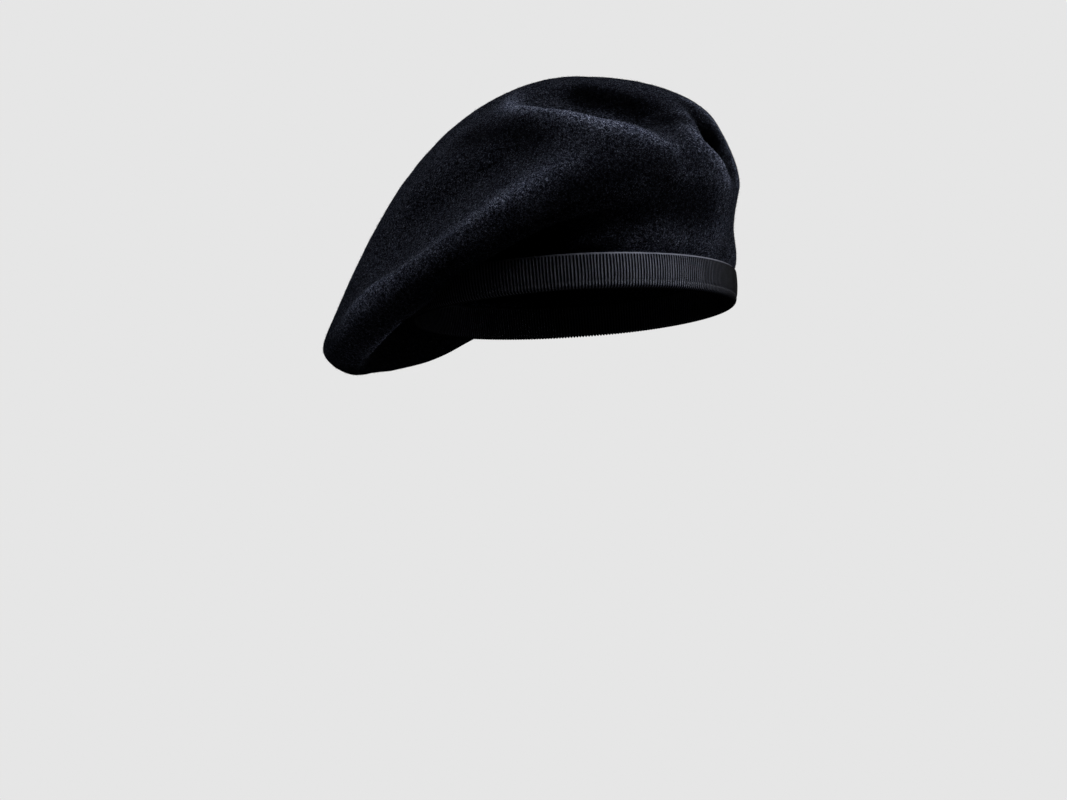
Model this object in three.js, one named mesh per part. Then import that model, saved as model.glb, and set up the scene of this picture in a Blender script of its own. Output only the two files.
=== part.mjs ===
// A felt beret with a ribbed ribbon bound round its head opening, held in the shape it has when worn.
// Millimetres, +Z up. The wearer's face looks along -Y and the wearer's left is +X, so the crown
// falls over towards -X. The origin is the centre of the head opening, in the ribbon's lower plane.

import * as THREE from "three";

// Driving dimensions
const HEAD_HALF_LENGTH = 97.4; // inside the ribbon, front to back
const HEAD_HALF_BREADTH = 79.4; // inside the ribbon, side to side
const RIBBON_HEIGHT = 16.4;
const RIBBON_THICKNESS = 1.0; // each leg of the folded ribbon
const RIBBON_LEAN = 1.2; // how far the lower edge draws in towards the head
const RIBBON_SWELL = 0.4; // how far the middle of the ribbon bows out
const FOLD_ROUNDING = 1.1; // corner of the ribbon's lower fold
const FELT_THICKNESS = 2.0;
const GAP = 0.3; // between the felt and each leg of the ribbon
const FRONT_RAISED = THREE.MathUtils.degToRad(12); // tilt of the ribbon on the head
const LEFT_RAISED = THREE.MathUtils.degToRad(8.5);
const CROWN_TOP = 121; // height of the crown's middle above the origin

// Places across the ribbon, measured inwards from its outer face
const FELT_OUTER = RIBBON_THICKNESS + GAP;
const FELT_INNER = FELT_OUTER + FELT_THICKNESS;
const INNER_LEG = FELT_INNER + GAP;
const RIBBON_INNER = INNER_LEG + RIBBON_THICKNESS;
const OUTER_HALF_LENGTH = HEAD_HALF_LENGTH + RIBBON_INNER;
const OUTER_HALF_BREADTH = HEAD_HALF_BREADTH + RIBBON_INNER;

// Sections of the crown. Azimuth is in degrees from the front (-Y) towards +X. "out" is the distance
// from the upright axis and "up" the height. The wall leaves the ribbon, the rim is a round edge of
// radius roll, which the felt follows from turn degrees below its outermost point to over degrees
// above it, and slope and dome are places on the top.
const SECTION_COLUMNS = [
  "azimuth", "wallOut", "wallUp", "rimOut", "rimUp", "roll", "turn", "over",
  "slopeOut", "slopeUp", "domeOut", "domeUp",
];
const SECTIONS = [
  [2, 94.5, 43.5, 108, 53, 8.5, 85, 40, 87, 92, 45, 108],
  [14, 92, 48.5, 107, 63, 8.5, 82, 40, 84, 96, 44, 109.5],
  [28, 90.5, 52, 103, 72, 10, 62, 35, 80, 98, 43, 111],
  [45, 89, 51, 98, 75, 14, 28, 30, 78, 98.5, 42, 113],
  [70, 86, 46, 91, 72, 20, 12, 28, 76.5, 98.5, 42, 115],
  [107, 83, 41, 85.5, 67, 28, 12, 27, 71, 101, 42, 116.8],
  [140, 94, 26, 96, 55, 18, 30, 28, 80, 93.5, 46, 115],
  [165, 103, 9, 108, 38, 15, 60, 28, 89, 87, 49, 113],
  [190, 104, -1, 118, 18, 14, 80, 28, 95, 79, 50, 111],
  [215, 103, -9, 125, -4, 13, 90, 28, 97, 69, 50, 109],
  [240, 98, -11, 127.5, -22, 13, 98, 28, 95.5, 61, 48, 106],
  [265, 95, -6, 128, -24, 12.5, 98, 28, 92.5, 59, 46, 106.2],
  [287, 94, 4, 128, -18.5, 12.5, 95, 30, 91.5, 59, 46, 106.3],
  [305, 97, 12, 125.5, -7, 13, 80, 40, 90, 64, 46, 106],
  [320, 99, 22, 121, 8, 14, 70, 58, 89, 71.3, 45, 105.7],
  [333, 99.5, 32, 117, 21, 11, 75, 50, 89, 78.3, 45, 105.5],
  [343, 99.5, 36.5, 114, 33.3, 10, 75, 48, 89, 84, 45, 105.5],
  [352, 97.5, 40.5, 111, 43.6, 9, 80, 44, 88, 88, 45, 107],
];

// Level of each place in a section, from 0 at the ribbon's upper edge to 1 at the crown's middle
const LEVELS = [0, 0.07, 0.17, 0.33, 0.42, 0.51, 0.7, 0.85, 1];
const RIM_LEVEL = LEVELS[3];
const LIP_OUT = 0.5; // the felt rises this far out and up before it turns
const LIP_UP = 2.4;

// Folds. Each runs through three places, given by azimuth and level. Width is how far it spreads to
// each side and height how far it lifts the felt, less than nothing for a hollow. A sharpness of 2 is
// a soft swell and 1 a crease. Each end fades over a share of the fold's length.
const FOLD_COLUMNS = [
  "startAzimuth", "startLevel", "midAzimuth", "midLevel", "endAzimuth", "endLevel",
  "width", "height", "sharpness", "startFade", "endFade",
];
const FOLDS = {
  longRidge: [-56, 0.42, -16, 0.5, 24, 0.62, 9, 8, 1.7, 0.3, 0.3],
  longHollow: [-60, 0.58, -21, 0.66, 15, 0.72, 14, -8.5, 2, 0.5, 0.4],
  topHollow: [-14, 0.93, 30, 0.82, 70, 0.7, 14, -9.5, 2, 0.4, 0.35],
  topRidge: [-60, 0.915, 10, 0.757, 56, 0.54, 9.5, 6.5, 1.8, 0.35, 0.35],
  sideRidge: [78, 0.79, 60.5, 0.6, 89, 0.34, 7.5, 5, 1.7, 0.3, 0.35],
  sideCrease: [90, 0.78, 76, 0.6, 94, 0.42, 8, -8.5, 2, 0.3, 0.35],
  lipHollow: [-52, 0.26, -10, 0.26, 33, 0.27, 6, -5, 2, 0.3, 0.3],
  sideHollow: [34, 0.44, 50, 0.32, 78, 0.23, 13, -4, 2, 0.4, 0.35],
  sideSwell: [36, 0.17, 57, 0.1, 84, 0.12, 8, 2, 2, 0.3, 0.3],
};
const FOLD_RUNS = 28; // straight runs that a fold's path is measured by
const CALM_LEVEL = 0.12; // below this level the folds die away towards the ribbon

// Fineness of the solids
const FRONT_FROM = -76; // azimuths between which the columns stand closer together
const FRONT_TO = 112;
const FRONT_COLUMNS = 50;
const BACK_COLUMNS = 24;
const LEVEL_STEPS = [1, 2, 3, 3, 2, 9, 8, 4]; // rows between neighbouring places of a section
const RIBBON_COLUMNS = 60;
const CORNER_STEPS = 3;

const felt = new THREE.MeshStandardMaterial({ color: 0x1b1d24, roughness: 0.95, metalness: 0 });
const grosgrain = new THREE.MeshStandardMaterial({ color: 0x2c2c33, roughness: 0.6, metalness: 0 });

// Cubic spline through rows of numbers. A slope at an end is kept, and without one that end is free.
function cubicSpline(knots, rows, startSlope, endSlope) {
  const last = knots.length - 1;
  const step = (i) => knots[i + 1] - knots[i];
  const rise = (i, c) => (rows[i + 1][c] - rows[i][c]) / step(i);
  const bends = rows.map((row) => row.map(() => 0));
  for (let c = 0; c < rows[0].length; c += 1) {
    const upper = [startSlope ? 0.5 : 0];
    const right = [startSlope ? (3 * (rise(0, c) - startSlope[c])) / step(0) : 0];
    for (let i = 1; i < last; i += 1) {
      const pivot = 2 * (step(i - 1) + step(i)) - step(i - 1) * upper[i - 1];
      upper.push(step(i) / pivot);
      right.push((6 * (rise(i, c) - rise(i - 1, c)) - step(i - 1) * right[i - 1]) / pivot);
    }
    if (endSlope) {
      const pull = 6 * (endSlope[c] - rise(last - 1, c)) - step(last - 1) * right[last - 1];
      bends[last][c] = pull / (step(last - 1) * (2 - upper[last - 1]));
    }
    for (let i = last - 1; i >= 0; i -= 1) {
      bends[i][c] = right[i] - upper[i] * bends[i + 1][c];
    }
  }
  return (place) => {
    let i = 0;
    while (i < last - 1 && place > knots[i + 1]) {
      i += 1;
    }
    const h = step(i);
    const before = knots[i + 1] - place;
    const after = place - knots[i];
    return rows[i].map((value, c) => {
      const low = value / h - (bends[i][c] * h) / 6;
      const high = rows[i + 1][c] / h - (bends[i + 1][c] * h) / 6;
      const curve = (bends[i][c] * before ** 3 + bends[i + 1][c] * after ** 3) / (6 * h);
      return curve + low * before + high * after;
    });
  };
}

// The section table, smooth all the way round
function roundSpline(table) {
  const turns = [-360, 0, 360];
  const knots = turns.flatMap((turn) => table.map((row) => row[0] + turn));
  const rows = turns.flatMap(() => table.map((row) => row.slice(1)));
  return cubicSpline(knots, rows);
}
const sectionAt = roundSpline(SECTIONS);

function named(columns, values) {
  return Object.fromEntries(columns.map((column, i) => [column, values[i]]));
}

const onHead = new THREE.Matrix4()
  .makeRotationY(-LEFT_RAISED)
  .multiply(new THREE.Matrix4().makeRotationX(-FRONT_RAISED));
const ribbonUp = new THREE.Vector3(0, 0, 1).transformDirection(onHead);

// A place on the ribbon: how far round, how far in from its outer face, and how high up it
function ribbonPoint(azimuth, inwards, height) {
  const angle = THREE.MathUtils.degToRad(azimuth);
  const in_ = inwards + RIBBON_LEAN * (1 - height / RIBBON_HEIGHT) ** 2;
  const point = new THREE.Vector3(
    (OUTER_HALF_BREADTH - in_) * Math.sin(angle),
    -(OUTER_HALF_LENGTH - in_) * Math.cos(angle),
    height,
  );
  return point.applyMatrix4(onHead);
}

// Curve of one section, from the ribbon to the crown's middle, as [out, up]
function sectionCurve(azimuth) {
  const row = named(SECTION_COLUMNS.slice(1), sectionAt(((azimuth % 360) + 360) % 360));
  const edge = ribbonPoint(azimuth, FELT_OUTER, RIBBON_HEIGHT);
  const edgeOut = Math.hypot(edge.x, edge.y);
  const onRim = (degrees) => {
    const angle = THREE.MathUtils.degToRad(degrees);
    return [row.rimOut + row.roll * (Math.cos(angle) - 1), row.rimUp + row.roll * Math.sin(angle)];
  };
  const places = [
    [edgeOut, edge.z],
    [edgeOut + LIP_OUT, edge.z + LIP_UP],
    [row.wallOut, row.wallUp],
    onRim(-row.turn),
    onRim(0),
    onRim(row.over),
    [row.slopeOut, row.slopeUp],
    [row.domeOut, row.domeUp],
    [0, CROWN_TOP],
  ];
  const lengths = [0];
  for (let i = 1; i < places.length; i += 1) {
    const run = Math.hypot(places[i][0] - places[i - 1][0], places[i][1] - places[i - 1][1]);
    lengths.push(lengths[i - 1] + run);
  }
  const outwards = (ribbonUp.x * edge.x + ribbonUp.y * edge.y) / edgeOut;
  const curve = cubicSpline(lengths, places, [outwards, ribbonUp.z], [-1, 0]);
  return (level) => {
    let i = 0;
    while (i < LEVELS.length - 2 && level > LEVELS[i + 1]) {
      i += 1;
    }
    const share = (level - LEVELS[i]) / (LEVELS[i + 1] - LEVELS[i]);
    return curve(lengths[i] + share * (lengths[i + 1] - lengths[i]));
  };
}

// A place on the crown before it is folded. Near the ribbon it turns to stand over the ribbon's oval.
function plainPoint(azimuth, level, curve = sectionCurve(azimuth)) {
  const [out, up] = curve(level);
  const straight = THREE.MathUtils.degToRad(azimuth);
  const edge = ribbonPoint(azimuth, FELT_OUTER, RIBBON_HEIGHT);
  const apart = Math.atan2(edge.x, -edge.y) - straight;
  const shift = Math.atan2(Math.sin(apart), Math.cos(apart));
  const angle = straight + shift * Math.max(0, 1 - level / RIM_LEVEL) ** 2;
  return new THREE.Vector3(out * Math.sin(angle), -out * Math.cos(angle), up);
}

// Outward normals of a grid of points, columns going round and rows going up to one middle point
function gridNormals(columns) {
  const count = columns.length;
  return columns.map((column, i) =>
    column.map((point, k) => {
      if (k === column.length - 1) {
        return new THREE.Vector3(0, 0, 1);
      }
      const round = columns[(i + 1) % count][k].clone().sub(columns[(i + count - 1) % count][k]);
      const up = column[k + 1].clone().sub(column[Math.max(0, k - 1)]);
      return round.cross(up).normalize();
    }),
  );
}

// The path of a fold over the plain crown
function foldPath(fold) {
  const through = (start, mid, end, share) => {
    const bow = 2 * mid - (start + end) / 2;
    return (1 - share) ** 2 * start + 2 * share * (1 - share) * bow + share ** 2 * end;
  };
  const points = [];
  for (let i = 0; i <= FOLD_RUNS; i += 1) {
    const share = i / FOLD_RUNS;
    const azimuth = through(fold.startAzimuth, fold.midAzimuth, fold.endAzimuth, share);
    const level = through(fold.startLevel, fold.midLevel, fold.endLevel, share);
    points.push(plainPoint(azimuth, level));
  }
  return points;
}

// How far a fold lifts the felt at a point
function foldLift(fold, path, point) {
  let nearest = Infinity;
  let along = 0;
  for (let i = 0; i < FOLD_RUNS; i += 1) {
    const run = path[i + 1].clone().sub(path[i]);
    const share = THREE.MathUtils.clamp(point.clone().sub(path[i]).dot(run) / run.lengthSq(), 0, 1);
    const distance = point.distanceTo(path[i].clone().addScaledVector(run, share));
    if (distance < nearest) {
      nearest = distance;
      along = (i + share) / FOLD_RUNS;
    }
  }
  const started = THREE.MathUtils.clamp(along / fold.startFade, 0, 1);
  const ending = THREE.MathUtils.clamp((1 - along) / fold.endFade, 0, 1);
  const strength = THREE.MathUtils.smoothstep(started * ending, 0, 1);
  return fold.height * strength * Math.exp(-((nearest / fold.width) ** fold.sharpness));
}

function columnAzimuths() {
  const front = FRONT_TO - FRONT_FROM;
  const azimuths = [];
  for (let i = 0; i < FRONT_COLUMNS; i += 1) {
    azimuths.push(FRONT_FROM + (front * i) / FRONT_COLUMNS);
  }
  for (let i = 0; i < BACK_COLUMNS; i += 1) {
    azimuths.push(FRONT_TO + ((360 - front) * i) / BACK_COLUMNS);
  }
  return azimuths;
}

function rowLevels() {
  const levels = [0];
  LEVEL_STEPS.forEach((steps, i) => {
    for (let s = 1; s <= steps; s += 1) {
      levels.push(LEVELS[i] + ((LEVELS[i + 1] - LEVELS[i]) * s) / steps);
    }
  });
  return levels;
}

// Outer face of the folded crown, as columns of points from the ribbon's upper edge to the middle
function outerFace(azimuths, levels) {
  const plain = azimuths.map((azimuth) => {
    const curve = sectionCurve(azimuth);
    return levels.map((level) => plainPoint(azimuth, level, curve));
  });
  const normals = gridNormals(plain);
  const folds = Object.values(FOLDS).map((values) => named(FOLD_COLUMNS, values));
  const paths = folds.map(foldPath);
  return plain.map((column, i) =>
    column.map((point, k) => {
      const lift = folds.reduce((sum, fold, f) => sum + foldLift(fold, paths[f], point), 0);
      const calm = THREE.MathUtils.smoothstep(levels[k], 0, CALM_LEVEL);
      return point.clone().addScaledVector(normals[i][k], lift * calm);
    }),
  );
}

// Closed solid from rings of points, each ring as long as the others. Rings join in order, the first
// and last close on the single points given, or on each other where there are none.
function solidFromRings(rings, firstPoint, lastPoint) {
  const count = rings[0].length;
  const positions = rings.flat();
  const triangles = [];
  const apart = (a, b) => positions[a].distanceTo(positions[b]);
  const quad = (a, b, c, d) => {
    if (apart(a, c) < apart(b, d)) {
      triangles.push(a, b, c, a, c, d);
    } else {
      triangles.push(a, b, d, b, c, d);
    }
  };
  const joins = firstPoint ? rings.length - 1 : rings.length;
  for (let r = 0; r < joins; r += 1) {
    const next = (r + 1) % rings.length;
    for (let i = 0; i < count; i += 1) {
      const j = (i + 1) % count;
      quad(r * count + i, r * count + j, next * count + j, next * count + i);
    }
  }
  if (firstPoint) {
    const first = positions.push(firstPoint) - 1;
    const last = positions.push(lastPoint) - 1;
    for (let i = 0; i < count; i += 1) {
      const j = (i + 1) % count;
      triangles.push(first, j, i);
      triangles.push(last, (rings.length - 1) * count + i, (rings.length - 1) * count + j);
    }
  }
  const geometry = new THREE.BufferGeometry();
  geometry.setAttribute("position", new THREE.Float32BufferAttribute(
    positions.flatMap((point) => [point.x, point.y, point.z]), 3,
  ));
  geometry.setIndex(triangles);
  geometry.computeVertexNormals();
  return geometry;
}

// The crown: one felt shell, whose edge stands in the ribbon
function crown() {
  const azimuths = columnAzimuths();
  const outer = outerFace(azimuths, rowLevels());
  const normals = gridNormals(outer);
  const rows = outer[0].length - 1;
  const edgeHeight = RIBBON_THICKNESS + GAP;
  const ring = (k, inwards) => outer.map((column, i) => {
    return column[k].clone().addScaledVector(normals[i][k], -inwards);
  });
  const slotRing = (inwards, height) => azimuths.map((azimuth) => ribbonPoint(azimuth, inwards, height));
  const inside = [];
  const outside = [];
  for (let k = 1; k < rows; k += 1) {
    inside.unshift(ring(k, FELT_THICKNESS));
    outside.push(ring(k, 0));
  }
  const rings = [
    ...inside,
    slotRing(FELT_INNER, RIBBON_HEIGHT),
    slotRing(FELT_INNER, edgeHeight),
    slotRing(FELT_OUTER, edgeHeight),
    slotRing(FELT_OUTER, RIBBON_HEIGHT),
    ...outside,
  ];
  const top = new THREE.Vector3(0, 0, CROWN_TOP);
  const under = new THREE.Vector3(0, 0, CROWN_TOP - FELT_THICKNESS);
  const mesh = new THREE.Mesh(solidFromRings(rings, under, top), felt);
  mesh.name = "crown";
  return mesh;
}

// The ribbon: folded under the felt's edge, an outer leg, a rounded lower fold and an inner leg
function ribbonBand() {
  const swell = (height) => RIBBON_SWELL * Math.sin((Math.PI * height) / RIBBON_HEIGHT);
  const section = [[0, RIBBON_HEIGHT], [-swell(RIBBON_HEIGHT * 0.6), RIBBON_HEIGHT * 0.6]];
  section.push([-swell(RIBBON_HEIGHT * 0.3), RIBBON_HEIGHT * 0.3]);
  const corner = (centreIn, from) => {
    for (let i = 0; i <= CORNER_STEPS; i += 1) {
      const angle = from + (Math.PI / 2) * (i / CORNER_STEPS);
      const inwards = centreIn - FOLD_ROUNDING * Math.cos(angle);
      section.push([inwards, FOLD_ROUNDING - FOLD_ROUNDING * Math.sin(angle)]);
    }
  };
  corner(FOLD_ROUNDING, 0);
  corner(RIBBON_INNER - FOLD_ROUNDING, Math.PI / 2);
  section.push([RIBBON_INNER, RIBBON_HEIGHT]);
  section.push([INNER_LEG, RIBBON_HEIGHT]);
  section.push([INNER_LEG, RIBBON_THICKNESS]);
  section.push([RIBBON_THICKNESS, RIBBON_THICKNESS]);
  section.push([RIBBON_THICKNESS - swell(RIBBON_HEIGHT * 0.3), RIBBON_HEIGHT * 0.3]);
  section.push([RIBBON_THICKNESS - swell(RIBBON_HEIGHT * 0.6), RIBBON_HEIGHT * 0.6]);
  section.push([RIBBON_THICKNESS, RIBBON_HEIGHT]);
  const azimuths = Array.from({ length: RIBBON_COLUMNS }, (_, i) => (360 * i) / RIBBON_COLUMNS);
  const rings = section.map(([inwards, height]) =>
    azimuths.map((azimuth) => ribbonPoint(azimuth, inwards, height)),
  );
  rings.reverse();
  const mesh = new THREE.Mesh(solidFromRings(rings), grosgrain);
  mesh.name = "ribbon_band";
  return mesh;
}

const beret = new THREE.Group();
beret.add(crown(), ribbonBand());

export default beret;
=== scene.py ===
"""Visual model of the beret: felt crown, ribbed ribbon, stitches and fibres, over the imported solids.

Lengths are in millimetres until a mesh is made. The front looks along -Y and the origin is the centre
of the opening, in the plane of the ribbon's lower edge.
"""

import math

import bpy
import numpy as np
from mathutils import Matrix, Vector, noise


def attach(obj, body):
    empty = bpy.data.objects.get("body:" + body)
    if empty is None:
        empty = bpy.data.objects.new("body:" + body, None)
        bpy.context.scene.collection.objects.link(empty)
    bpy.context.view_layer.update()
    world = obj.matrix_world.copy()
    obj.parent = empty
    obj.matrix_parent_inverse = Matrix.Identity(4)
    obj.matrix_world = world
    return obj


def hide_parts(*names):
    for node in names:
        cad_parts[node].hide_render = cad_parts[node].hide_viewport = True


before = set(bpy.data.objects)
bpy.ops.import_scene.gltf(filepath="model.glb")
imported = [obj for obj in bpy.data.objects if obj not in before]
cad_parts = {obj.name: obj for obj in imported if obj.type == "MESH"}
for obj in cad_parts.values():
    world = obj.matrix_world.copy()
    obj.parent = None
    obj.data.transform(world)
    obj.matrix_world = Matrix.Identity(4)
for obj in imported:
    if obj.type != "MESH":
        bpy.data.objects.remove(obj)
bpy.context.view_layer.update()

MM = 0.001

# The ribbon and the felt's edge, as in the solids
RIBBON_HEIGHT = 16.4
RIBBON_THICKNESS = 1.0
RIBBON_LEAN = 1.2
RIBBON_SWELL = 0.4
FOLD_ROUNDING = 1.1
FELT_THICKNESS = 2.0
GAP = 0.3
FRONT_RAISED = math.radians(12)
LEFT_RAISED = math.radians(8.5)
CROWN_TOP = 121.0
FELT_OUTER = RIBBON_THICKNESS + GAP
FELT_INNER = FELT_OUTER + FELT_THICKNESS
INNER_LEG = FELT_INNER + GAP
RIBBON_INNER = INNER_LEG + RIBBON_THICKNESS
OUTER_HALF_LENGTH = 97.4 + RIBBON_INNER
OUTER_HALF_BREADTH = 79.4 + RIBBON_INNER

# Sections of the crown, as in the solids
SECTION_COLUMNS = (
    "azimuth", "wall_out", "wall_up", "rim_out", "rim_up", "roll", "turn", "over",
    "slope_out", "slope_up", "dome_out", "dome_up",
)
SECTIONS = np.array((
    (2, 94.5, 43.5, 108, 53, 8.5, 85, 40, 87, 92, 45, 108),
    (14, 92, 48.5, 107, 63, 8.5, 82, 40, 84, 96, 44, 109.5),
    (28, 90.5, 52, 103, 72, 10, 62, 35, 80, 98, 43, 111),
    (45, 89, 51, 98, 75, 14, 28, 30, 78, 98.5, 42, 113),
    (70, 86, 46, 91, 72, 20, 12, 28, 76.5, 98.5, 42, 115),
    (107, 83, 41, 85.5, 67, 28, 12, 27, 71, 101, 42, 116.8),
    (140, 94, 26, 96, 55, 18, 30, 28, 80, 93.5, 46, 115),
    (165, 103, 9, 108, 38, 15, 60, 28, 89, 87, 49, 113),
    (190, 104, -1, 118, 18, 14, 80, 28, 95, 79, 50, 111),
    (215, 103, -9, 125, -4, 13, 90, 28, 97, 69, 50, 109),
    (240, 98, -11, 127.5, -22, 13, 98, 28, 95.5, 61, 48, 106),
    (265, 95, -6, 128, -24, 12.5, 98, 28, 92.5, 59, 46, 106.2),
    (287, 94, 4, 128, -18.5, 12.5, 95, 30, 91.5, 59, 46, 106.3),
    (305, 97, 12, 125.5, -7, 13, 80, 40, 90, 64, 46, 106),
    (320, 99, 22, 121, 8, 14, 70, 58, 89, 71.3, 45, 105.7),
    (333, 99.5, 32, 117, 21, 11, 75, 50, 89, 78.3, 45, 105.5),
    (343, 99.5, 36.5, 114, 33.3, 10, 75, 48, 89, 84, 45, 105.5),
    (352, 97.5, 40.5, 111, 43.6, 9, 80, 44, 88, 88, 45, 107),
))
LEVELS = np.array((0, 0.07, 0.17, 0.33, 0.42, 0.51, 0.7, 0.85, 1))
RIM_LEVEL = LEVELS[3]
LIP_OUT = 0.5
LIP_UP = 2.4

FOLD_COLUMNS = (
    "start_azimuth", "start_level", "mid_azimuth", "mid_level", "end_azimuth", "end_level",
    "width", "height", "sharpness", "start_fade", "end_fade",
)
FOLDS = {
    "long_ridge": (-56, 0.42, -16, 0.5, 24, 0.62, 9, 8, 1.7, 0.3, 0.3),
    "long_hollow": (-60, 0.58, -21, 0.66, 15, 0.72, 14, -8.5, 2, 0.5, 0.4),
    "top_hollow": (-14, 0.93, 30, 0.82, 70, 0.7, 14, -9.5, 2, 0.4, 0.35),
    "top_ridge": (-60, 0.915, 10, 0.757, 56, 0.54, 9.5, 6.5, 1.8, 0.35, 0.35),
    "side_ridge": (78, 0.79, 60.5, 0.6, 89, 0.34, 7.5, 5, 1.7, 0.3, 0.35),
    "side_crease": (90, 0.78, 76, 0.6, 94, 0.42, 8, -8.5, 2, 0.3, 0.35),
    "lip_hollow": (-52, 0.26, -10, 0.26, 33, 0.27, 6, -5, 2, 0.3, 0.3),
    "side_hollow": (34, 0.44, 50, 0.32, 78, 0.23, 13, -4, 2, 0.4, 0.35),
    "side_swell": (36, 0.17, 57, 0.1, 84, 0.12, 8, 2, 2, 0.3, 0.3),
}
FOLD_RUNS = 28
CALM_LEVEL = 0.12

# Painted light and shade over the folds: how far it spreads from each fold's path, in mm, how many stops
# lighter it is there, and how it fades to the path's ends (1 as the fold does, less than that holds out
# longer).
# Ridges get a painted highlight and hollows get painted shade.
FOLD_PAINTED_LIGHT = {
    "long_ridge": (9.5, 2.0, 0.6),
    "long_hollow": (14, -0.4, 0.6),
    "top_hollow": (9, -0.8, 1.0),
    "top_ridge": (6.2, 2.8, 0.5),
    "side_ridge": (5.5, 2.2, 1.0),
    "side_crease": (8, -2.5, 0.35),
    "lip_hollow": (6.8, -5.0, 1.2),
    "side_hollow": (14, -1.5, 1.0),
    "side_swell": (18, 1.2, 0.35),
}

# More painted shade and painted highlight on the felt, along paths of their own
PAINTED_SHADE_COLUMNS = FOLD_COLUMNS[:6] + ("spread", "lighter", "start_fade", "end_fade")
PAINTED_SHADES = {
    "upper_face": (-46, 0.77, -13, 0.765, 16, 0.69, 11, -2.0, 0.3, 0.3),
    "under_ridge": (-42, 0.42, 2, 0.425, 48, 0.4, 9, -1.4, 0.4, 0.4),
    "middle": (6, 0.5, 28, 0.52, 52, 0.48, 9, -1.5, 0.3, 0.35),
    "under_side_ridge": (44, 0.43, 62, 0.42, 80, 0.38, 5.5, 1.2, 0.3, 0.3),
    "front_wall": (14, 0.25, 44, 0.24, 78, 0.22, 8, -1.4, 0.3, 0.3),
    "ribbon_shadow": (-8, 0.03, 18, 0.05, 42, 0.07, 4, -3.2, 0.2, 0.45),
    "low_front": (-68, 0.34, -44, 0.345, -16, 0.355, 5, 1.4, 0.25, 0.35),
    "lip_edge": (-68, 0.315, -38, 0.312, 0, 0.31, 3.2, 2.2, 0.5, 0.4),
    "slouch_underside": (-160, 0.2, -112, 0.24, -40, 0.2, 22, -3.5, 0.2, 0.3),
    "top_shade": (0, 0.94, 44, 0.86, 66, 0.74, 7.5, -3.6, 0.3, 0.35),
    "ridge_rim": (-18, 0.9, 32, 0.848, 53, 0.7, 2.5, 1.5, 0.25, 0.3),
    "side_start": (54, 0.77, 62, 0.72, 62, 0.64, 5, -1.6, 0.3, 0.3),
    "side_wedge": (84, 0.74, 81, 0.58, 76, 0.44, 5.5, -4.4, 0.25, 0.3),
    "far_rim": (92, 0.8, 94, 0.6, 88, 0.34, 4.2, 1.8, 0.1, 0.15),
}

# Fineness of the crown's mesh
FRONT_FROM = -76
FRONT_TO = 112
FRONT_COLUMNS = 230
BACK_COLUMNS = 110
OUTER_STEPS = (3, 6, 16, 14, 12, 26, 22, 18)
INNER_STEPS = (1, 2, 6, 5, 4, 10, 9, 8)

# Soft unevenness of the felt: size of the patches and how far they rise, with none next to the ribbon
UNEVEN = ((26.0, 0.55), (11.0, 0.28), (4.5, 0.10))
EVEN_LEVEL = 0.05

# Loose fibres on the felt
FIBRES = 45000
FIBRE_LENGTH = 1.3
FIBRE_WIDTH = 0.055
FIBRE_RISE = 0.7
FIBRE_CURL = 0.35
FUZZ_SEED = 7

# The ribbon's ribs
RIB_PITCH = 1.66
RIB_DEPTH = 0.7
RIB_COLUMNS = 6
RIB_BOW = 0.56
RIB_WANDER = 0.12  # how fast that bow changes along the ribbon, per mm

# Painted highlight on the ribs: azimuth, how far that spreads, and how many stops lighter they are
RIB_PAINTED_HIGHLIGHT = (50, 46, 1.65)
EDGE_PAINTED_SHADE = 2.4  # away from there, how many stops of painted shade darken the plain edge above the ribs

# Stitches through the ribbon: height above its lower edge, length and spacing
STITCH_ROWS = ((2.7, 2.0, 3.3), (14.9, 1.5, 2.5))
STITCH_ARCH = 0.16
STITCH_SUNK = 0.22
STITCH_SIDES = 6
STITCH_RINGS = 7
THREAD_RADIUS = 0.17

# The photograph's view
IMAGE_WIDTH = 1067
CAMERA_TURN = math.radians(17)
CAMERA_PITCH = math.radians(8.3)
CAMERA_DISTANCE = 1500
CAMERA_RIGHT = -19.6
CAMERA_UP = -44.2
FOCAL_PIXELS = 2920
FLOOR_UP = -230
FLOOR_BRIGHTNESS = 0.791

# Soft lights: azimuth from the camera towards the picture's right, elevation, size in metres, watts
LIGHTS = {
    "left_back": (-120, 8, 0.8, 3.8),
    "left": (-90, 8, 0.8, 1.8),
    "left_high": (-90, 45, 0.8, 4.8),
    "left_low": (-90, -25, 0.8, 0.7),
    "right_back": (120, 8, 0.8, 9.5),
    "right": (90, 8, 0.8, 6.5),
    "right_low": (90, -25, 0.8, 0.9),
    "top_right": (45, 62, 0.8, 9.0),
    "top": (0, 80, 0.8, 2.4),
}
LIGHT_AIM = Vector((-0.02, 0, 0.05))
LIGHT_DISTANCE = 1.4


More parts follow.
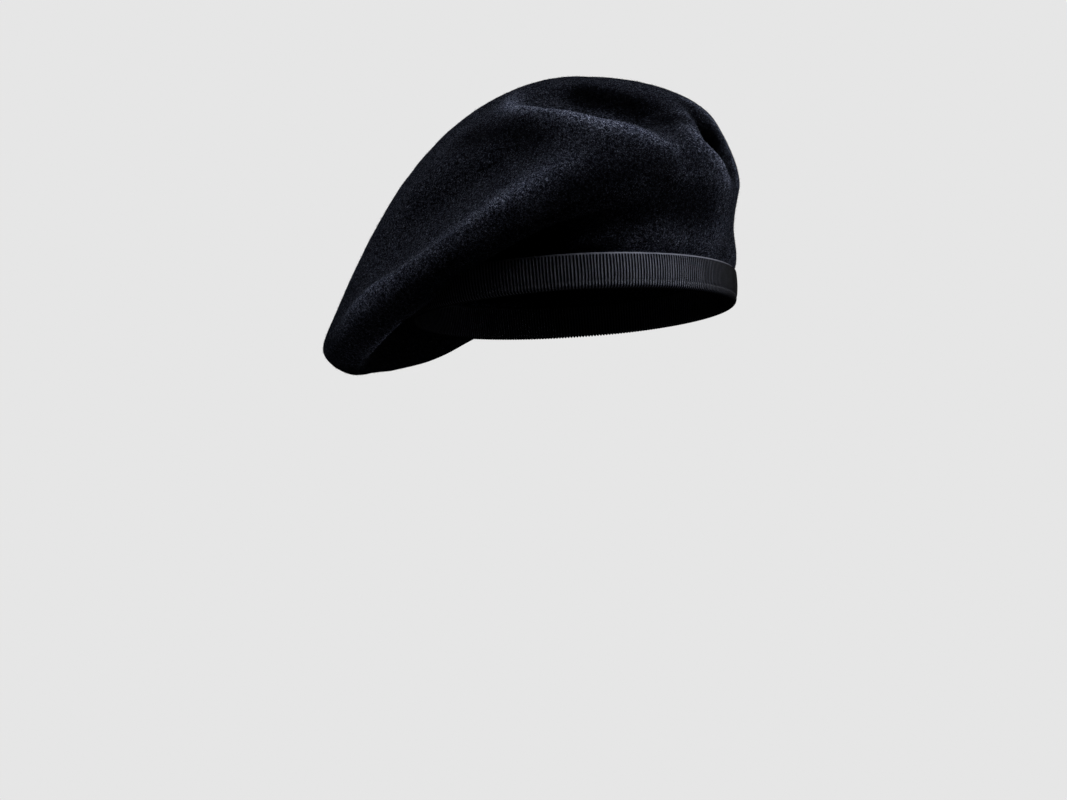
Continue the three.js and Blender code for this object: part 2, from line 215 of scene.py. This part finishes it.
def cubic_spline(knots, rows, start_slope=None, end_slope=None):
    """Cubic spline through rows of numbers. An end keeps its slope if one is given."""
    count = len(knots)
    step = np.diff(knots)
    shape = (-1,) + (1,) * (rows.ndim - 1)
    rise = np.diff(rows, axis=0) / step.reshape(shape)
    matrix = np.zeros((count, count))
    right = np.zeros(rows.shape)
    matrix[0, 0] = matrix[-1, -1] = 1
    for i in range(1, count - 1):
        matrix[i, i - 1:i + 2] = step[i - 1], 2 * (step[i - 1] + step[i]), step[i]
        right[i] = 6 * (rise[i] - rise[i - 1])
    if start_slope is not None:
        matrix[0, :2] = 2 * step[0], step[0]
        right[0] = 6 * (rise[0] - start_slope)
    if end_slope is not None:
        matrix[-1, -2:] = step[-1], 2 * step[-1]
        right[-1] = 6 * (end_slope - rise[-1])
    bends = np.linalg.solve(matrix, right.reshape(count, -1)).reshape(rows.shape)

    def at(places):
        places = np.atleast_1d(places)
        i = np.clip(np.searchsorted(knots, places) - 1, 0, count - 2)
        h = step[i].reshape(shape)
        before = (knots[i + 1] - places).reshape(shape)
        after = (places - knots[i]).reshape(shape)
        curve = (bends[i] * before**3 + bends[i + 1] * after**3) / (6 * h)
        low = rows[i] / h - bends[i] * h / 6
        high = rows[i + 1] / h - bends[i + 1] * h / 6
        return curve + low * before + high * after

    return at


def round_spline(table):
    """The section table, smooth all the way round."""
    knots = np.concatenate([table[:, 0] + turn for turn in (-360, 0, 360)])
    return cubic_spline(knots, np.concatenate([table[:, 1:]] * 3))


def worn_tilt():
    """Turns the ribbon's own frame into its tilt when worn."""
    c, s = math.cos(FRONT_RAISED), math.sin(FRONT_RAISED)
    front = np.array(((1, 0, 0), (0, c, s), (0, -s, c)))
    c, s = math.cos(LEFT_RAISED), math.sin(LEFT_RAISED)
    left = np.array(((c, 0, -s), (0, 1, 0), (s, 0, c)))
    return left @ front


WORN_TILT = worn_tilt()
SECTION_AT = round_spline(SECTIONS)


def ribbon_points(azimuth, inwards, height):
    """Places on the ribbon: how far round, how far in from its outer face, and how high up it."""
    angle, inwards, height = np.broadcast_arrays(np.radians(azimuth), inwards, height)
    inwards = inwards + RIBBON_LEAN * (1 - height / RIBBON_HEIGHT)**2
    x = (OUTER_HALF_BREADTH - inwards) * np.sin(angle)
    y = -(OUTER_HALF_LENGTH - inwards) * np.cos(angle)
    return np.stack((x, y, height), -1) @ WORN_TILT.T


def section_curve(azimuth):
    """Curve of one section, from the ribbon to the crown's middle, as (out, up) at each level."""
    row = dict(zip(SECTION_COLUMNS[1:], SECTION_AT(azimuth % 360)[0]))
    edge = ribbon_points(azimuth, FELT_OUTER, RIBBON_HEIGHT)
    edge_out = np.hypot(edge[0], edge[1])

    def on_rim(degrees):
        angle = math.radians(degrees)
        return (
            row["rim_out"] + row["roll"] * (math.cos(angle) - 1),
            row["rim_up"] + row["roll"] * math.sin(angle),
        )

    places = np.array((
        (edge_out, edge[2]),
        (edge_out + LIP_OUT, edge[2] + LIP_UP),
        (row["wall_out"], row["wall_up"]),
        on_rim(-row["turn"]),
        on_rim(0),
        on_rim(row["over"]),
        (row["slope_out"], row["slope_up"]),
        (row["dome_out"], row["dome_up"]),
        (0, CROWN_TOP),
    ))
    lengths = np.concatenate(((0,), np.cumsum(np.linalg.norm(np.diff(places, axis=0), axis=1))))
    up = WORN_TILT[:, 2]
    start = np.array(((up[0] * edge[0] + up[1] * edge[1]) / edge_out, up[2]))
    curve = cubic_spline(lengths, places, start, np.array((-1.0, 0.0)))
    return lambda levels: curve(np.interp(levels, LEVELS, lengths))


def plain_crown(azimuths, levels):
    """The crown before it is folded, as a grid of points: columns going round, rows going up."""
    across = np.stack([section_curve(azimuth)(levels) for azimuth in azimuths])
    straight = np.radians(azimuths)
    edge = ribbon_points(azimuths, FELT_OUTER, RIBBON_HEIGHT)
    apart = np.arctan2(edge[:, 0], -edge[:, 1]) - straight
    shift = np.arctan2(np.sin(apart), np.cos(apart))
    near = np.clip(1 - levels / RIM_LEVEL, 0, 1)**2
    angle = straight[:, None] + shift[:, None] * near
    out, up = across[..., 0], across[..., 1]
    return np.stack((out * np.sin(angle), -out * np.cos(angle), up), -1)


def grid_normals(points):
    """Outward normals of a grid of points whose last row is one point."""
    round_ = np.roll(points, -1, 0) - np.roll(points, 1, 0)
    up = np.concatenate((
        points[:, 1:2] - points[:, :1],
        points[:, 2:] - points[:, :-2],
        points[:, -1:] - points[:, -2:-1],
    ), 1)
    normals = np.cross(round_, up)
    normals[:, -1] = (0, 0, 1)
    return normals / np.linalg.norm(normals, axis=-1, keepdims=True)


def fold_path(fold):
    """The path of a fold over the plain crown."""
    share = np.linspace(0, 1, FOLD_RUNS + 1)

    def through(name):
        start, mid, end = (fold[f"{place}_{name}"] for place in ("start", "mid", "end"))
        bow = 2 * mid - (start + end) / 2
        return (1 - share)**2 * start + 2 * share * (1 - share) * bow + share**2 * end

    places = zip(through("azimuth"), through("level"))
    return np.stack([plain_crown(np.array((a,)), np.array((level,)))[0, 0] for a, level in places])


def fold_reach(fold, points):
    """How far each point is from a fold's path, and how strong the fold is there."""
    path = fold_path(fold)
    nearest = np.full(points.shape[:-1], np.inf)
    along = np.zeros(points.shape[:-1])
    for i in range(FOLD_RUNS):
        run = path[i + 1] - path[i]
        share = np.clip((points - path[i]) @ run / (run @ run), 0, 1)
        distance = np.linalg.norm(points - path[i] - share[..., None] * run, axis=-1)
        closer = distance < nearest
        nearest[closer] = distance[closer]
        along[closer] = (i + share[closer]) / FOLD_RUNS
    started = np.clip(along / fold["start_fade"], 0, 1)
    ending = np.clip((1 - along) / fold["end_fade"], 0, 1)
    strength = started * ending
    return nearest, strength * strength * (3 - 2 * strength)


def folded_crown(azimuths, levels):
    """Outer face of the crown with its folds, and its painted light and shade as a factor on its colour.
    """
    points = plain_crown(azimuths, levels)
    lift = np.zeros(points.shape[:-1])
    stops = np.zeros(points.shape[:-1])
    for name, values in FOLDS.items():
        fold = dict(zip(FOLD_COLUMNS, values))
        nearest, strength = fold_reach(fold, points)
        lift += fold["height"] * strength * np.exp(-(nearest / fold["width"])**fold["sharpness"])
        # Painted light and shade along each fold: lighter on ridges, darker in hollows
        if name in FOLD_PAINTED_LIGHT:
            spread, lighter, hold = FOLD_PAINTED_LIGHT[name]
            stops += lighter * strength**hold * np.exp(-(nearest / spread)**2)
    # Painted shade and painted highlight along paths of their own
    for values in PAINTED_SHADES.values():
        shade = dict(zip(PAINTED_SHADE_COLUMNS, values))
        nearest, strength = fold_reach(shade, points)
        stops += shade["lighter"] * strength * np.exp(-(nearest / shade["spread"])**2)
    calm = np.clip(levels / CALM_LEVEL, 0, 1)
    lift *= calm * calm * (3 - 2 * calm)
    return points + grid_normals(points) * lift[..., None], 2.0**stops


def uneven(points):
    """Soft unevenness of the felt at each point."""
    flat = points.reshape(-1, 3)
    lift = np.zeros(len(flat))
    for i, point in enumerate(flat):
        place = Vector(point)
        lift[i] = sum(rise * noise.noise(place / size) for size, rise in UNEVEN)
    return lift.reshape(points.shape[:-1])


def column_azimuths():
    front = np.linspace(FRONT_FROM, FRONT_TO, FRONT_COLUMNS, endpoint=False)
    back = np.linspace(FRONT_TO, FRONT_FROM + 360, BACK_COLUMNS, endpoint=False)
    return np.concatenate((front, back))


def row_levels(steps):
    parts = [np.linspace(LEVELS[i], LEVELS[i + 1], n, endpoint=False) for i, n in enumerate(steps)]
    return np.concatenate(parts + [np.array((1.0,))])


def ring_faces(rings, count):
    """Faces between rings of points, each ring joined to the next."""
    i = np.arange(count)
    j = (i + 1) % count
    faces = [
        np.stack((low * count + i, low * count + j, high * count + j, high * count + i), -1)
        for low, high in rings
    ]
    return np.concatenate(faces)


def keep_number(mesh, name, values):
    """Keeps a number for each point of a mesh."""
    kept = mesh.attributes.new(name, "FLOAT", "POINT")
    kept.data.foreach_set("value", np.asarray(values, dtype=np.float32).ravel())


def new_piece(name, points, faces, material, smooth=True):
    """A mesh object in metres that rides on the beret."""
    mesh = bpy.data.meshes.new(name)
    mesh.from_pydata((np.asarray(points) * MM).tolist(), [], [tuple(face) for face in faces])
    mesh.polygons.foreach_set("use_smooth", [smooth] * len(mesh.polygons))
    mesh.materials.append(material)
    mesh.update()
    piece = bpy.data.objects.new(name, mesh)
    bpy.context.scene.collection.objects.link(piece)
    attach(piece, "root")
    return piece


# Materials

def shader(name):
    material = bpy.data.materials.new(name)
    material.use_nodes = True
    tree = material.node_tree
    return material, tree, tree.nodes["Principled BSDF"]


def add(tree, kind, **values):
    """A node with its properties and, by socket name, its unlinked inputs."""
    node = tree.nodes.new(kind)
    for key, value in values.items():
        if hasattr(node, key):
            setattr(node, key, value)
        else:
            node.inputs[key.replace("_", " ").title()].default_value = value
    return node


def ramp(tree, source, *stops):
    """Colour ramp over a source, from stops of (place, colour)."""
    node = tree.nodes.new("ShaderNodeValToRGB")
    elements = node.color_ramp.elements
    while len(elements) < len(stops):
        elements.new(0.5)
    for element, (place, colour) in zip(elements, stops):
        element.position = place
        element.color = (*colour, 1)
    tree.links.new(source, node.inputs["Fac"])
    return node.outputs["Color"]


def mix(tree, kind, factor, a, b):
    """Mixes two colours or links."""
    node = tree.nodes.new("ShaderNodeMix")
    node.data_type = "RGBA"
    node.blend_type = kind
    for place, value in ((0, factor), (6, a), (7, b)):
        if isinstance(value, bpy.types.NodeSocket):
            tree.links.new(value, node.inputs[place])
        elif place:
            node.inputs[place].default_value = (*value, 1)
        else:
            node.inputs[place].default_value = value
    return node.outputs[2]


def felt_material(name, dark, light, fleck):
    """Fulled wool: short fibres lying every way, in soft clumps, with painted light and shade kept on
    the mesh.
    """
    material, tree, base = shader(name)
    link = tree.links.new
    place = add(tree, "ShaderNodeTexCoord").outputs["Object"]
    warp = add(tree, "ShaderNodeTexNoise", scale=900, detail=2, roughness=0.5)
    link(place, warp.inputs["Vector"])
    bent = tree.nodes.new("ShaderNodeVectorMath")
    bent.operation = "MULTIPLY_ADD"
    bent.inputs[1].default_value = (0.0018, 0.0018, 0.0018)
    link(warp.outputs["Color"], bent.inputs[0])
    link(place, bent.inputs[2])
    fibres = add(tree, "ShaderNodeTexNoise", scale=2000, detail=3, roughness=0.65)
    clumps = add(tree, "ShaderNodeTexNoise", scale=750, detail=2, roughness=0.6)
    patches = add(tree, "ShaderNodeTexNoise", scale=55, detail=3, roughness=0.55)
    for node in (fibres, clumps):
        link(bent.outputs[0], node.inputs["Vector"])
    link(place, patches.inputs["Vector"])
    tone = ramp(tree, fibres.outputs["Fac"], (0.38, dark), (0.52, light), (0.68, fleck))
    shade = ramp(tree, clumps.outputs["Fac"], (0.36, (0.22, 0.22, 0.24)), (0.64, (1.85, 1.85, 1.85)))
    broad = ramp(tree, patches.outputs["Fac"], (0.3, (0.82, 0.83, 0.86)), (0.7, (1.15, 1.15, 1.12)))
    # Painted light and shade kept on the mesh darkens or lightens the felt's colour
    painted_shading = add(tree, "ShaderNodeAttribute", attribute_name="painted_shading")
    for part in (shade, broad, painted_shading.outputs["Fac"]):
        tone = mix(tree, "MULTIPLY", 1.0, tone, part)
    link(tone, base.inputs["Base Color"])
    base.inputs["Roughness"].default_value = 1.0
    base.inputs["Specular IOR Level"].default_value = 0.0
    coarse = add(tree, "ShaderNodeBump", strength=1.0, distance=0.0011)
    fine = add(tree, "ShaderNodeBump", strength=1.0, distance=0.0005)
    link(clumps.outputs["Fac"], coarse.inputs["Height"])
    link(fibres.outputs["Fac"], fine.inputs["Height"])
    link(coarse.outputs["Normal"], fine.inputs["Normal"])
    link(fine.outputs["Normal"], base.inputs["Normal"])
    return material


def fibre_material(name, dark, light):
    """Single wool fibres, some dyed darker than others, with the felt's painted light and shade."""
    material, tree, base = shader(name)
    link = tree.links.new
    place = add(tree, "ShaderNodeTexCoord").outputs["Object"]
    dye = add(tree, "ShaderNodeTexNoise", scale=700, detail=2, roughness=0.5)
    link(place, dye.inputs["Vector"])
    tone = ramp(tree, dye.outputs["Fac"], (0.4, dark), (0.65, light))
    # The felt's painted light and shade
    painted_shading = add(tree, "ShaderNodeAttribute", attribute_name="painted_shading")
    link(mix(tree, "MULTIPLY", 1.0, tone, painted_shading.outputs["Fac"]), base.inputs["Base Color"])
    base.inputs["Roughness"].default_value = 0.75
    base.inputs["Specular IOR Level"].default_value = 0.2
    return material


def ribbon_material(name, crest, groove_shade):
    """Ribbed ribbon: fine threads wrapped along it over each rib, with painted shade down in the
    grooves, a painted highlight round the front and painted shade on its plain edge away from there.
    """
    material, tree, base = shader(name)
    link = tree.links.new
    lay = add(tree, "ShaderNodeUVMap", uv_map="lay")
    depth = add(tree, "ShaderNodeAttribute", attribute_name="crest")
    stretch = tree.nodes.new("ShaderNodeMapping")
    stretch.inputs["Scale"].default_value = (260, 3200, 1)
    link(lay.outputs["UV"], stretch.inputs["Vector"])
    threads = add(tree, "ShaderNodeTexNoise", scale=1, detail=2, roughness=0.55)
    link(stretch.outputs[0], threads.inputs["Vector"])
    wear_and_painted_light = add(tree, "ShaderNodeTexNoise", scale=130, detail=3, roughness=0.6)
    link(add(tree, "ShaderNodeTexCoord").outputs["Object"], wear_and_painted_light.inputs["Vector"])
    # Painted shade: the grooves' colour is far darker than the crests'
    tone = ramp(tree, depth.outputs["Fac"], (0.25, groove_shade), (0.8, crest))
    streak = ramp(tree, threads.outputs["Fac"], (0.3, (0.7, 0.7, 0.72)), (0.7, (1.2, 1.2, 1.2)))
    broad = ramp(tree, wear_and_painted_light.outputs["Fac"], (0.3, (0.86, 0.87, 0.9)), (0.7, (1.1, 1.1, 1.1)))
    # Painted highlight round the front and painted shade on the plain edge away from it
    painted_rib_light = add(tree, "ShaderNodeAttribute", attribute_name="wear_and_painted_light")
    for part in (streak, broad, painted_rib_light.outputs["Fac"]):
        tone = mix(tree, "MULTIPLY", 1.0, tone, part)
    link(tone, base.inputs["Base Color"])
    rough = tree.nodes.new("ShaderNodeMapRange")
    rough.inputs["To Min"].default_value = 0.5
    rough.inputs["To Max"].default_value = 0.72
    link(wear_and_painted_light.outputs["Fac"], rough.inputs["Value"])
    link(rough.outputs["Result"], base.inputs["Roughness"])
    base.inputs["Specular IOR Level"].default_value = 0.02
    bump = add(tree, "ShaderNodeBump", strength=0.5, distance=0.00012)
    link(threads.outputs["Fac"], bump.inputs["Height"])
    link(bump.outputs["Normal"], base.inputs["Normal"])
    return material


def thread_material(name, colour):
    """Sewing thread with its twist."""
    material, tree, base = shader(name)
    link = tree.links.new
    place = add(tree, "ShaderNodeTexCoord").outputs["Object"]
    twist = add(tree, "ShaderNodeTexNoise", scale=2600, detail=2, roughness=0.5)
    link(place, twist.inputs["Vector"])
    dark = tuple(0.55 * c for c in colour)
    link(ramp(tree, twist.outputs["Fac"], (0.35, dark), (0.65, colour)), base.inputs["Base Color"])
    base.inputs["Roughness"].default_value = 0.6
    bump = add(tree, "ShaderNodeBump", strength=0.6, distance=0.0001)
    link(twist.outputs["Fac"], bump.inputs["Height"])
    link(bump.outputs["Normal"], base.inputs["Normal"])
    return material


# Stage, camera and lights

def camera_axes():
    turn, pitch = CAMERA_TURN, CAMERA_PITCH
    ahead = Vector((
        -math.sin(turn) * math.cos(pitch), math.cos(turn) * math.cos(pitch), -math.sin(pitch),
    ))
    right = Vector((math.cos(turn), math.sin(turn), 0))
    return ahead, right, right.cross(ahead)


def place_camera():
    ahead, right, up = camera_axes()
    place = (-CAMERA_DISTANCE * ahead + CAMERA_RIGHT * right + CAMERA_UP * up) * MM
    data = bpy.data.cameras.new("camera")
    data.sensor_width = 36
    data.lens = FOCAL_PIXELS * 36 / IMAGE_WIDTH
    camera = bpy.data.objects.new("camera", data)
    bpy.context.scene.collection.objects.link(camera)
    turned = Matrix((right, up, -ahead)).transposed().to_4x4()
    camera.matrix_world = Matrix.Translation(place) @ turned
    bpy.context.scene.camera = camera


def floor_bowl():
    """Round pale floor that curves up into a wall far away."""
    profile = [(0.0, 0.0), (1.0, 0.0), (3.0, 0.0)]
    for degrees in range(10, 91, 10):
        angle = math.radians(degrees)
        profile.append((3 + 3 * math.sin(angle), 3 - 3 * math.cos(angle)))
    profile.append((6.0, 8.0))
    count = 64
    around = np.radians(np.arange(count) * 360 / count)
    points = [
        (out * math.cos(angle), out * math.sin(angle), up + FLOOR_UP * MM)
        for out, up in profile[1:] for angle in around
    ]
    faces = ring_faces([(k, k + 1) for k in range(len(profile) - 2)], count).tolist()
    faces.append(list(range(count)))
    mesh = bpy.data.meshes.new("floor")
    mesh.from_pydata(points, [], faces)
    mesh.polygons.foreach_set("use_smooth", [True] * len(mesh.polygons))
    material, _, base = shader("pale_floor")
    base.inputs["Base Color"].default_value = (0, 0, 0, 1)
    base.inputs["Roughness"].default_value = 1.0
    base.inputs["Specular IOR Level"].default_value = 0.0
    base.inputs["Emission Color"].default_value = (1, 1, 1, 1)
    base.inputs["Emission Strength"].default_value = FLOOR_BRIGHTNESS
    mesh.materials.append(material)
    floor = bpy.data.objects.new("floor", mesh)
    bpy.context.scene.collection.objects.link(floor)
    floor.visible_diffuse = False
    floor.visible_glossy = False
    floor.visible_shadow = False


def place_lights():
    for name, (azimuth, elevation, size, watts) in LIGHTS.items():
        turn, pitch = CAMERA_TURN + math.radians(azimuth), math.radians(elevation)
        away = Vector((
            math.sin(turn) * math.cos(pitch), -math.cos(turn) * math.cos(pitch), math.sin(pitch),
        ))
        data = bpy.data.lights.new(name, "AREA")
        data.size = size
        data.energy = watts
        light = bpy.data.objects.new(name, data)
        bpy.context.scene.collection.objects.link(light)
        light.location = LIGHT_AIM + away * LIGHT_DISTANCE
        light.rotation_mode = "QUATERNION"
        light.rotation_quaternion = away.to_track_quat("Z", "Y")
        light.visible_camera = False
    world = bpy.data.worlds.new("studio")
    bpy.context.scene.world = world
    world.use_nodes = True
    background = world.node_tree.nodes["Background"]
    background.inputs["Color"].default_value = (1, 1, 1, 1)
    background.inputs["Strength"].default_value = 0.02
    bpy.context.scene.view_settings.view_transform = "Standard"


# The pieces

def outer_felt():
    """Outer face of the felt as a grid of points, and its painted light and shade."""
    levels = row_levels(OUTER_STEPS)
    points, painted_shading = folded_crown(column_azimuths(), levels)
    fade = np.clip(levels / EVEN_LEVEL, 0, 1)
    return points + grid_normals(points) * (uneven(points) * fade)[..., None], painted_shading


def felt_crown(outer, painted_shading, material):
    """The felt as one closed shell: inside, round its edge in the ribbon, and outside."""
    azimuths = column_azimuths()
    count = len(azimuths)
    edge_height = RIBBON_THICKNESS + GAP
    inner, _ = folded_crown(azimuths, row_levels(INNER_STEPS))
    inner = inner - grid_normals(inner) * FELT_THICKNESS
    rings = [inner[:, k] for k in range(inner.shape[1] - 2, 0, -1)]
    for inwards, height in (
        (FELT_INNER, RIBBON_HEIGHT), (FELT_INNER, edge_height),
        (FELT_OUTER, edge_height), (FELT_OUTER, RIBBON_HEIGHT),
    ):
        rings.append(ribbon_points(azimuths, inwards, height))
    hidden = len(rings)
    rings += [outer[:, k] for k in range(1, outer.shape[1] - 1)]
    points = np.concatenate(rings + [inner[:1, -1], outer[:1, -1]])
    faces = ring_faces([(k, k + 1) for k in range(len(rings) - 1)], count).tolist()
    first, last = len(points) - 2, len(points) - 1
    end = (len(rings) - 1) * count
    for i in range(count):
        j = (i + 1) % count
        faces.append((first, j, i))
        faces.append((last, end + i, end + j))
    piece = new_piece("felt_crown", points, faces, material)
    # Painted light and shade on the outer face; the inside and the edge keep their own colour
    shown = np.ones(len(points))
    shown[hidden * count:-2] = painted_shading[:, 1:-1].T.ravel()
    keep_number(piece.data, "painted_shading", shown)
    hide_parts("crown")


def fuzz(outer, painted_shading, material):
    """Loose wool fibres a little off the felt, each a thin bent blade."""
    random = np.random.default_rng(FUZZ_SEED)
    count, rows = painted_shading.shape
    normals = grid_normals(outer)
    here = outer[:, :-1]
    areas = np.linalg.norm(np.cross(np.roll(here, -1, 0) - here, outer[:, 1:] - here), axis=-1)
    cells = random.choice(areas.size, FIBRES, p=areas.ravel() / areas.sum())
    i, k = np.divmod(cells, rows - 1)
    j = (i + 1) % count
    u, v = random.random((2, FIBRES, 1))

    def at(grid):
        low = (1 - u) * grid[i, k] + u * grid[j, k]
        high = (1 - u) * grid[i, k + 1] + u * grid[j, k + 1]
        return (1 - v) * low + v * high

    def unit(vectors):
        return vectors / np.linalg.norm(vectors, axis=-1, keepdims=True)

    normal = unit(at(normals))
    heading = unit(np.cross(normal, random.normal(size=(FIBRES, 3))))
    side = np.cross(normal, heading)
    length = FIBRE_LENGTH * random.uniform(0.5, 1.5, (FIBRES, 1))
    rise = FIBRE_RISE * random.random((FIBRES, 1))**2
    curl = FIBRE_CURL * random.normal(size=(FIBRES, 1))
    root = at(outer) - normal * FIBRE_WIDTH
    middle = root + 0.5 * length * heading + rise * normal + 0.1 * curl * length * side
    tip = root + length * heading + rise * random.uniform(0.1, 1.5, (FIBRES, 1)) * normal
    tip += curl * length * side
    lean = random.uniform(-1, 1, (FIBRES, 1))
    blade = FIBRE_WIDTH / 2 * unit(side + lean * normal)
    points = np.stack((
        root - blade, root + blade, middle - blade, middle + blade, tip - 0.3 * blade, tip + 0.3 * blade,
    ), 1)
    first = 6 * np.arange(FIBRES)[:, None]
    faces = np.concatenate((first + (0, 1, 3, 2), first + (2, 3, 5, 4)))
    piece = new_piece("felt_fuzz", points.reshape(-1, 3), faces.tolist(), material)
    # The fibres take the painted light and shade of the felt under them
    keep_number(piece.data, "painted_shading", np.repeat(at(painted_shading[..., None]), 6))


def ribbon_section():
    """Places round the folded ribbon as (inwards, height, how strongly the ribs show)."""
    top = RIBBON_HEIGHT
    lip = [(1.15, top - 0.3, 0), (1.0, top, 0), (0.6, top + 0.12, 0), (0.2, top + 0.02, 0),
           (0.0, top - 0.25, 0), (0.0, top - 0.5, 0), (0.03, top - 0.75, 0.5), (0.0, top - 1.0, 1)]
    face = [(-RIBBON_SWELL * math.sin(math.pi * share), top * share, 1)
            for share in (0.88, 0.76, 0.62, 0.48, 0.36, 0.26)]
    face += [(-0.2, 3.5, 1), (0.02, 2.7, 0.75), (-0.1, 1.9, 1)]

    def corner(centre, start):
        turned = [math.radians(start + part) for part in (0, 22.5, 45, 67.5, 90)]
        rounding = FOLD_ROUNDING
        return [(centre - rounding * math.cos(a), rounding - rounding * math.sin(a), 1) for a in turned]

    inner = [(RIBBON_INNER, top * share, 1) for share in (0.3, 0.55, 0.8)]
    inner += [(RIBBON_INNER, top - 1.0, 0.8), (RIBBON_INNER, top - 0.5, 0),
              (RIBBON_INNER - 0.3, top + 0.05, 0), (INNER_LEG + 0.25, top + 0.05, 0),
              (INNER_LEG, top - 0.4, 0)]
    slot = [(INNER_LEG, RIBBON_THICKNESS, 0), (1.15, RIBBON_THICKNESS, 0)]
    outer_corner = corner(FOLD_ROUNDING, 0)
    inner_corner = corner(RIBBON_INNER - FOLD_ROUNDING, 90)
    return lip + face + outer_corner + inner_corner + inner + slot


def ribbon_run():
    """Azimuths all the way round the ribbon, and how far along it each one is."""
    azimuths = np.linspace(0, 360, 3601)
    places = ribbon_points(azimuths, 0, RIBBON_HEIGHT / 2)
    steps = np.linalg.norm(np.diff(places, axis=0), axis=1)
    return azimuths, np.concatenate(((0,), np.cumsum(steps)))


RUN_AZIMUTHS, RUN_LENGTHS = ribbon_run()
RIBBON_LENGTH = RUN_LENGTHS[-1]


def even_azimuths(count):
    """Azimuths that stand evenly along the ribbon's oval."""
    return np.interp(np.arange(count) * RIBBON_LENGTH / count, RUN_LENGTHS, RUN_AZIMUTHS)


def lay_threads(mesh, section, along):
    """Gives the ribbon a map of places along and across it, for its threads."""
    runs = np.linalg.norm(np.diff(section[:, :2], axis=0), axis=1)
    across = np.concatenate(((0,), np.cumsum(runs)))
    places = np.stack(np.broadcast_arrays(along[None, :], across[:, None]), -1).reshape(-1, 2) * MM
    corners = np.zeros(len(mesh.loops), dtype=np.int32)
    mesh.loops.foreach_get("vertex_index", corners)
    lay = mesh.uv_layers.new(name="lay")
    lay.data.foreach_set("uv", places[corners].astype(np.float32).ravel())


def ribbon(material):
    """The folded ribbon with its ribs."""
    section = np.array(ribbon_section())
    ribs = round(RIBBON_LENGTH / RIB_PITCH)
    count = ribs * RIB_COLUMNS
    azimuths = even_azimuths(count)
    along = np.arange(count) * RIBBON_LENGTH / count
    ahead = np.roll(section[:, :2], -1, 0) - np.roll(section[:, :2], 1, 0)
    ahead /= np.linalg.norm(ahead, axis=1, keepdims=True)
    normal = np.stack((-ahead[:, 1], ahead[:, 0]), -1)
    share = (np.arange(count) % RIB_COLUMNS) / RIB_COLUMNS
    crest = (0.5 - 0.5 * np.cos(2 * math.pi * share))**2
    wander = np.array([noise.noise(Vector((place * RIB_WANDER, 0, 5))) for place in along])
    bowed = RIB_BOW * wander * 360 / RIBBON_LENGTH
    rings = []
    for (inwards, height, strength), (n_in, n_up) in zip(section, normal):
        bow = math.sin(math.pi * np.clip(height / RIBBON_HEIGHT, 0, 1)) * strength
        sunk = RIB_DEPTH * strength * (1 - crest)
        rings.append(ribbon_points(
            azimuths + bow * bowed, inwards - n_in * sunk, height - n_up * sunk,
        ))
    faces = ring_faces([((k + 1) % len(rings), k) for k in range(len(rings))], count)
    piece = new_piece("ribbon", np.concatenate(rings), faces.tolist(), material)
    mesh = piece.data
    ribbed = section[:, 2]
    keep_number(mesh, "crest", 1 - np.outer(ribbed, 1 - crest))
    # Painted highlight round the front of the ribs, and painted shade on the plain edge away from it
    highlight_at, spread, lighter = RIB_PAINTED_HIGHLIGHT
    off = (azimuths - highlight_at + 180) % 360 - 180
    painted_rib_light = np.exp(-(off / spread)**2)
    keep_number(mesh, "wear_and_painted_light", 2.0**(lighter * painted_rib_light - EDGE_PAINTED_SHADE * np.outer(1 - ribbed, 1 - painted_rib_light)))
    lay_threads(mesh, section, along)
    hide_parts("ribbon_band")


def stitch(azimuth, height, length):
    """Rings of points round one stitch, a small bent capsule of thread."""
    share = np.linspace(-0.5, 0.5, STITCH_RINGS)
    places = azimuth + share * length * 360 / RIBBON_LENGTH
    swell = RIBBON_SWELL * math.sin(math.pi * height / RIBBON_HEIGHT)
    proud = STITCH_ARCH * (1 - (2 * share)**4) - STITCH_SUNK
    path = ribbon_points(places, -swell - proud - THREAD_RADIUS * 0.4, height)
    along = np.gradient(path, axis=0)
    along /= np.linalg.norm(along, axis=1, keepdims=True)
    up = np.broadcast_to(WORN_TILT[:, 2], along.shape)
    out = np.cross(up, along)
    radius = THREAD_RADIUS * np.sqrt(np.clip(1 - (2 * share)**6, 0.02, 1))
    angle = 2 * math.pi * np.arange(STITCH_SIDES) / STITCH_SIDES
    around = np.cos(angle)[:, None] * up[:, None] - np.sin(angle)[:, None] * out[:, None]
    return (path[:, None] + radius[:, None, None] * around).reshape(-1, 3)


def stitches(material):
    """Rows of short stitches through the ribbon's outer leg."""
    capsules = []
    for height, length, spacing in STITCH_ROWS:
        for azimuth in even_azimuths(round(RIBBON_LENGTH / spacing)):
            capsules.append(stitch(azimuth, height, length))
    rings = [(k, k + 1) for k in range(STITCH_RINGS - 1)]
    shell = ring_faces(rings, STITCH_SIDES).tolist()
    first = list(range(STITCH_SIDES))[::-1]
    last = [(STITCH_RINGS - 1) * STITCH_SIDES + side for side in range(STITCH_SIDES)]
    faces = []
    for number in range(len(capsules)):
        start = number * STITCH_SIDES * STITCH_RINGS
        faces += [[start + point for point in face] for face in shell + [first, last]]
    new_piece("ribbon_stitches", np.concatenate(capsules), faces, material)


place_camera()
floor_bowl()
place_lights()

felt = felt_material("felt", (0.0006, 0.0007, 0.001), (0.008, 0.009, 0.0135), (0.075, 0.084, 0.115))
wool = fibre_material("wool_fibre", (0.006, 0.0065, 0.009), (0.1, 0.112, 0.15))
# The second colour is painted shade for the ribbon's grooves
grosgrain = ribbon_material("grosgrain", (0.125, 0.131, 0.158), (0.0002, 0.0003, 0.0008))
thread = thread_material("thread", (0.12, 0.12, 0.135))

outer, painted_shading = outer_felt()
felt_crown(outer, painted_shading, felt)
fuzz(outer, painted_shading, wool)
ribbon(grosgrain)
stitches(thread)
